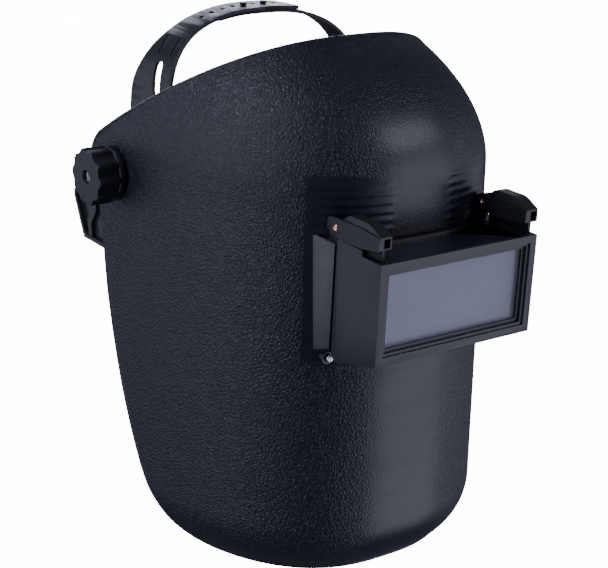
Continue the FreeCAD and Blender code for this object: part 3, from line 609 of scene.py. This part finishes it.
def rim_bead():
    """Tube along the rim."""
    path = rim_path()
    count, sides = len(path), 14
    verts, faces = [], []
    for i in range(count):
        along = Vector(path[(i + 2) % count] - path[i - 2]).normalized()
        outward = Vector((path[i][0], path[i][1], 0.3 * path[i][2]))
        outward = (outward - along * outward.dot(along)).normalized()
        across = along.cross(outward)
        for k in range(sides):
            turn = 2 * math.pi * k / sides
            p = Vector(path[i]) + (outward * math.cos(turn) + across * math.sin(turn)) * BEAD_R
            verts.append(tuple(p))
    for i in range(count):
        j = (i + 1) % count
        for k in range(sides):
            n = (k + 1) % sides
            faces.append((i * sides + k, i * sides + n, j * sides + n, j * sides + k))
    return new_object("rim_bead", verts, faces)


make_shell()

# ---- CAD pieces whose shape is right: edges rounded, own materials ----
ROUNDED = {
    "window_base": 0.45, "lift_frame": 0.5, "lift_arm_left": 0.4, "lift_arm_right": 0.4,
    "tension_knob_left": 0.45, "tension_knob_right": 0.45, "outer_washer_left": 0.3,
    "outer_washer_right": 0.3, "stop_disc_left": 0.3, "stop_disc_right": 0.3,
    "side_bracket_left": 0.4, "side_bracket_right": 0.4, "headband_front": 0.5, "rear_band": 0.5,
    "crown_strap_left": 0.4, "crown_strap_right": 0.4, "band_buttons": 0.3, "strap_rivets": 0.3,
    "bracket_rivets": 0.25, "base_screws": 0.12, "base_nuts": 0.15, "pivot_stud_left": 0.25,
    "pivot_stud_right": 0.25, "filter_plate": 0.2, "front_cover_plate": 0.15, "inner_cover_plate": 0.15,
    "inner_plate_clip": 0.1, "filter_clip": 0.1, "hinge_springs": 0.05, "hinge_rivets": 0.1,
    "knob_insert_left": 0.2, "knob_insert_right": 0.2, "base_gasket": 0.15, "filter_gasket": 0.15,
}
for node, width in ROUNDED.items():
    refined(node, width)

# ---- padded strips ----
SIM_FRAMES = 20
PAD_VOXEL = 0.0021     # metres
PAD_SHRINK = 0.8       # millimetres taken off before swelling
PAD_CAP = 1.2          # furthest that swelling may move a point
CHANNEL_DEPTH = 2.1
CHANNEL_WIDTH = 1.9


def strip_place(co, half, depth, curve_y):
    """Where a point of a U-shaped strip is: 1 at its outer side, less inside, and how far along."""
    forward = (co.y / MM - curve_y) * math.copysign(1, depth)
    turn = math.atan2(max(forward, 0.0) / abs(depth), co.x / MM / half)
    along = turn * 0.5 * (half + abs(depth))
    if forward <= 0:
        along += forward if co.x > 0 else -forward
        return abs(co.x) / MM / half, along
    return math.hypot(co.x / MM / half, forward / abs(depth)), along


def swell(obj, pinned, cap):
    """Inflate the cover like a sewn cushion, and keep the result with every point's move capped."""
    group = obj.vertex_groups.new(name="sewn_down")
    group.add([v.index for v in obj.data.vertices if v.index in pinned], 1.0, "REPLACE")
    cloth_modifier = obj.modifiers.new("cover", "CLOTH")
    cover = cloth_modifier.settings
    cover.quality = 5
    cover.mass = 0.12
    cover.tension_stiffness = cover.compression_stiffness = 14
    cover.shear_stiffness = 8
    cover.bending_stiffness = 0.3
    cover.use_pressure = True
    cover.uniform_pressure_force = 4
    cover.vertex_group_mass = "sewn_down"
    cover.effector_weights.gravity = 0
    cloth_modifier.point_cache.frame_start = 1
    cloth_modifier.point_cache.frame_end = SIM_FRAMES
    for frame_number in range(1, SIM_FRAMES + 1):
        scene.frame_set(frame_number)
    swollen = obj.evaluated_get(bpy.context.evaluated_depsgraph_get()).data
    moved = [v.co.copy() for v in swollen.vertices]
    obj.modifiers.remove(cloth_modifier)
    for v, place in zip(obj.data.vertices, moved):
        step = place - v.co
        if step.length > cap * MM:
            step *= cap * MM / step.length
        v.co += step
    scene.frame_set(1)


def padded_strip(node, half, depth, curve_y, thick, channel):
    """Towelling over foam: a swollen cover, flat on the band, sewn across at every channel."""
    obj = bpy.data.objects.new(node + "_cover", nodes[node].data.copy())
    scene.collection.objects.link(obj)
    remesh = obj.modifiers.new("cover", "REMESH")
    remesh.mode = "VOXEL"
    remesh.voxel_size = PAD_VOXEL
    applied(obj)
    normals = [v.normal.copy() for v in obj.data.vertices]
    places = [strip_place(v.co, half, depth, curve_y) for v in obj.data.vertices]
    pinned = {k for k, place in enumerate(places) if place[0] > 1 - 0.22 * thick / half}
    for k, v in enumerate(obj.data.vertices):
        if k not in pinned:
            v.co -= normals[k] * PAD_SHRINK * MM
    swell(obj, pinned, PAD_CAP)
    subdivided = obj.modifiers.new("finer", "SUBSURF")
    subdivided.levels = 1
    applied(obj)
    for v in obj.data.vertices:
        level, along = strip_place(v.co, half, depth, curve_y)
        inside = min(1.0, max(0.0, (1 - level) * half / thick))
        off = (along + channel / 2) % channel - channel / 2
        pull = CHANNEL_DEPTH * math.exp(-(off / CHANNEL_WIDTH) ** 2) * inside
        behind = (v.co.y / MM - curve_y) * math.copysign(1, depth) <= 0
        lengthwise = 0.0 if behind else (v.co.y - curve_y * MM) / depth ** 2
        outwards = Vector((v.co.x / half ** 2, lengthwise, 0))
        v.co += outwards.normalized() * pull * MM
    obj.data.shade_smooth()
    finished(obj, nodes[node]["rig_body"], slot_of[node], node)


padded_strip("sweatband", 77.0, -95.5, 12.0, 6.0, 26.0)
padded_strip("nape_pad", 74.1, 45.5, 60.0, 5.0, 24.0)

# ---- studio ----
FLOOR_DROP = 0.012     # metres under the lowest point
WALL_START = 5.2
WALL_BEND = 1.5
WALL_TOP = 6.0


def make_studio():
    """Pale floor that runs up into a round wall; only the camera sees it, so it adds no light."""
    floor_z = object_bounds()[0][2] - FLOOR_DROP
    profile = [(0.0, 0.0), (3.0, 0.0), (WALL_START, 0.0)]
    for turn in np.linspace(0.1, math.pi / 2, 14):
        profile.append((WALL_START + WALL_BEND * math.sin(turn), WALL_BEND - WALL_BEND * math.cos(turn)))
    profile.append((WALL_START + WALL_BEND, WALL_TOP))
    turns = 96
    verts, faces = [], []
    for radius, height in profile:
        for k in range(turns):
            turn = 2 * math.pi * k / turns
            verts.append((radius * math.cos(turn), radius * math.sin(turn), floor_z + height))
    for r in range(len(profile) - 1):
        for k in range(turns):
            n = (k + 1) % turns
            a, b = r * turns, (r + 1) * turns
            faces.append((a + k, b + k, b + n, a + n))
    mesh = bpy.data.meshes.new("studio_floor")
    mesh.from_pydata(verts, [], faces)
    mesh.shade_smooth()
    floor = bpy.data.objects.new("studio_floor", mesh)
    scene.collection.objects.link(floor)
    mesh.materials.append(floor_paint())
    floor.visible_diffuse = False
    floor.visible_glossy = False
    floor.visible_shadow = False


def area_light(name, place, target, width, power, height):
    """Rectangular softbox turned towards its target."""
    light = bpy.data.lights.new(name, "AREA")
    light.energy = power
    light.color = SOFTBOX
    light.shape = "RECTANGLE"
    light.size = width
    light.size_y = height
    obj = bpy.data.objects.new(name, light)
    scene.collection.objects.link(obj)
    obj.location = place
    obj.rotation_euler = (Vector(target) - Vector(place)).to_track_quat("-Z", "Y").to_euler()


def make_camera():
    """Long lens, left of the window and above it, with the photograph's slight roll."""
    right = Vector((0.8078, -0.5875, 0.0481)).normalized()
    back = Vector((-0.5660, -0.7503, 0.3418)).normalized()
    right = (right - back * right.dot(back)).normalized()
    up = back.cross(right)
    data = bpy.data.cameras.new("camera")
    data.lens = 99.0
    data.sensor_width = 36.0
    data.clip_end = 20
    camera = bpy.data.objects.new("camera", data)
    scene.collection.objects.link(camera)
    axes = Matrix((right, up, back)).transposed().to_4x4()
    camera.matrix_world = Matrix.Translation((-0.6270, -0.8850, 0.3012)) @ axes
    scene.camera = camera


def make_world():
    world = bpy.data.worlds.new("studio")
    scene.world = world
    world.use_nodes = True
    background = world.node_tree.nodes["Background"]
    background.inputs["Color"].default_value = (0.78, 0.82, 1.0, 1)
    background.inputs["Strength"].default_value = 0.11


SOFTBOX = (0.82, 0.84, 1.0)     # colour of every light
make_studio()
make_camera()
make_world()
# name: (place, target, width, power, height)
SOFTBOXES = {
    "left_softbox": ((-1.57, -0.24, 0.05), (0, 0, -0.05), 0.7, 12, 1.7),
    "rear_softbox": ((-1.3, 1.2, 0.0), (0, 0, -0.08), 1.5, 7, 1.5),
    "overhead_softbox": ((-0.80, 0.30, 1.20), (-0.02, -0.05, 0), 0.6, 9, 0.6),
    "right_softbox": ((0.80, -1.20, -0.30), (0, -0.1, -0.05), 0.9, 11, 1.9),
    "right_side_softbox": ((1.55, -0.40, -0.20), (0, -0.1, -0.05), 1.1, 3.2, 1.6),
    "high_right_softbox": ((0.85, -1.00, 1.00), (0, -0.1, 0), 0.5, 4.5, 0.5),
    "inside_softbox": ((0.70, 1.50, 0.35), (0, 0, -0.05), 1.1, 16, 1.1),
}
for name, (place, target, width, power, height) in SOFTBOXES.items():
    area_light(name, place, target, width, power, height)
